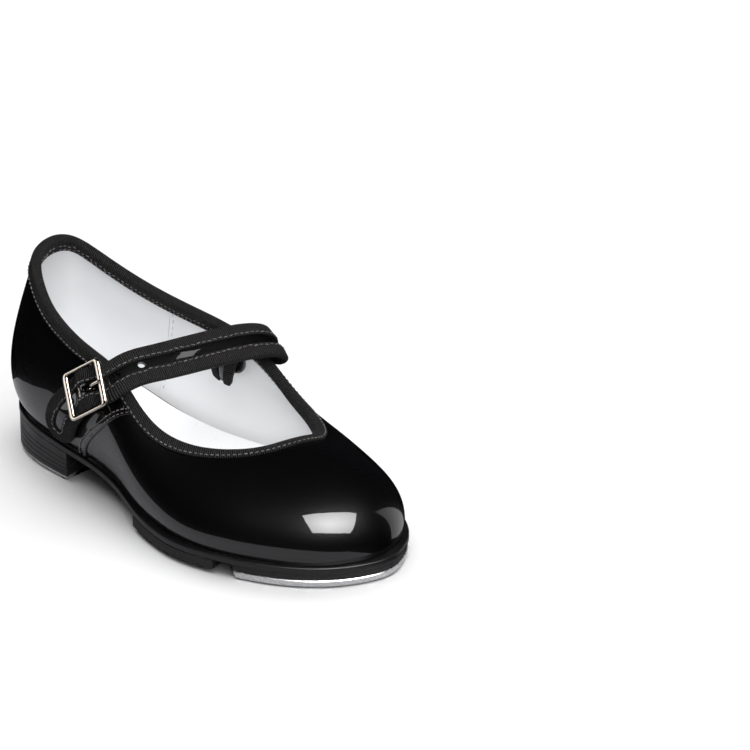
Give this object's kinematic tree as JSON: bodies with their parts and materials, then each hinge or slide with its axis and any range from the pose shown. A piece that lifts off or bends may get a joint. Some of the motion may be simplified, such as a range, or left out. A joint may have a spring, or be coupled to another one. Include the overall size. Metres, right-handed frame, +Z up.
{
  "type": "tap shoe",
  "caption": "Child's right-foot tap shoe: glossy black upper, ribbed bindings, a buckled instep strap, stacked heel and metal plates under toe and heel.",
  "frame": {"origin": "centre of the bounding box, on the floor the two taps stand on", "axes": "+X from heel to toe, +Y to the inner (medial) side, +Z up"},
  "size_m": [0.169, 0.0752, 0.0733],
  "materials": {
    "patent_leather": "mirror-gloss black patent",
    "grosgrain": "ribbed matt black tape",
    "lining": "smooth pale silver-grey synthetic",
    "sock_lining": "smooth pale silver-grey sock",
    "insole_board": "tan fibre board",
    "stiffener": "stiff fibre sheet",
    "outsole": "black edge-dyed sole",
    "heel_stack": "charcoal stacked board, satin",
    "tap_board": "black fibre board",
    "grip_rubber": "fine diamond grid",
    "tap_aluminium": "satin face, polished bevel",
    "shank_steel": "plain spring steel",
    "screw_steel": "plated steel",
    "buckle_nickel": "polished warm nickel",
    "eyelet_enamel": "satin black enamel"
  },
  "bodies": {
    "shoe": {"outsole": "outsole", "sole_patch": "grip_rubber", "heel_block": "heel_stack", "heel_tap": "tap_aluminium", "heel_tap_screw_1": "screw_steel", "heel_tap_screw_2": "screw_steel", "heel_tap_screw_3": "screw_steel", "toe_tap_board": "tap_board", "toe_tap": "tap_aluminium", "toe_tap_screw_1": "screw_steel", "toe_tap_screw_2": "screw_steel", "toe_tap_screw_3": "screw_steel", "shank": "shank_steel", "insole_board": "insole_board", "insole_sock": "sock_lining", "vamp": "patent_leather", "lateral_quarter": "patent_leather", "medial_quarter": "patent_leather", "vamp_lining": "lining", "quarter_lining": "lining", "heel_counter": "stiffener", "toe_puff": "stiffener", "topline_binding": "grosgrain", "eyelet_ring": "eyelet_enamel", "eyelet_washer": "eyelet_enamel", "strap_anchor_loop": "patent_leather", "buckle_tab": "patent_leather"},
    "buckle": {"buckle_frame": "buckle_nickel"},
    "prong": {"buckle_prong": "buckle_nickel"},
    "strap": {"instep_strap": "patent_leather", "strap_binding": "grosgrain"}
  },
  "joints": [
    {"name": "buckle_tilt", "type": "hinge", "parent": "shoe", "child": "buckle", "pos_m": [-0.02375, -0.028, 0.04372], "axis": [-0.5601, 0.2918, 0.7753], "range_deg": [-5, 5]},
    {"name": "prong_lift", "type": "hinge", "parent": "buckle", "child": "prong", "pos_m": [-0.02375, -0.028, 0.04372], "axis": [0.5601, -0.2918, -0.7753], "range_deg": [0, 60]},
    {"name": "strap_swing", "type": "hinge", "parent": "shoe", "child": "strap", "pos_m": [0.00316, 0.03181, 0.049], "axis": [-0.8336, 0, 0.5524], "range_deg": [0, 100], "deforming": ["instep_strap", "strap_binding"]}
  ]
}
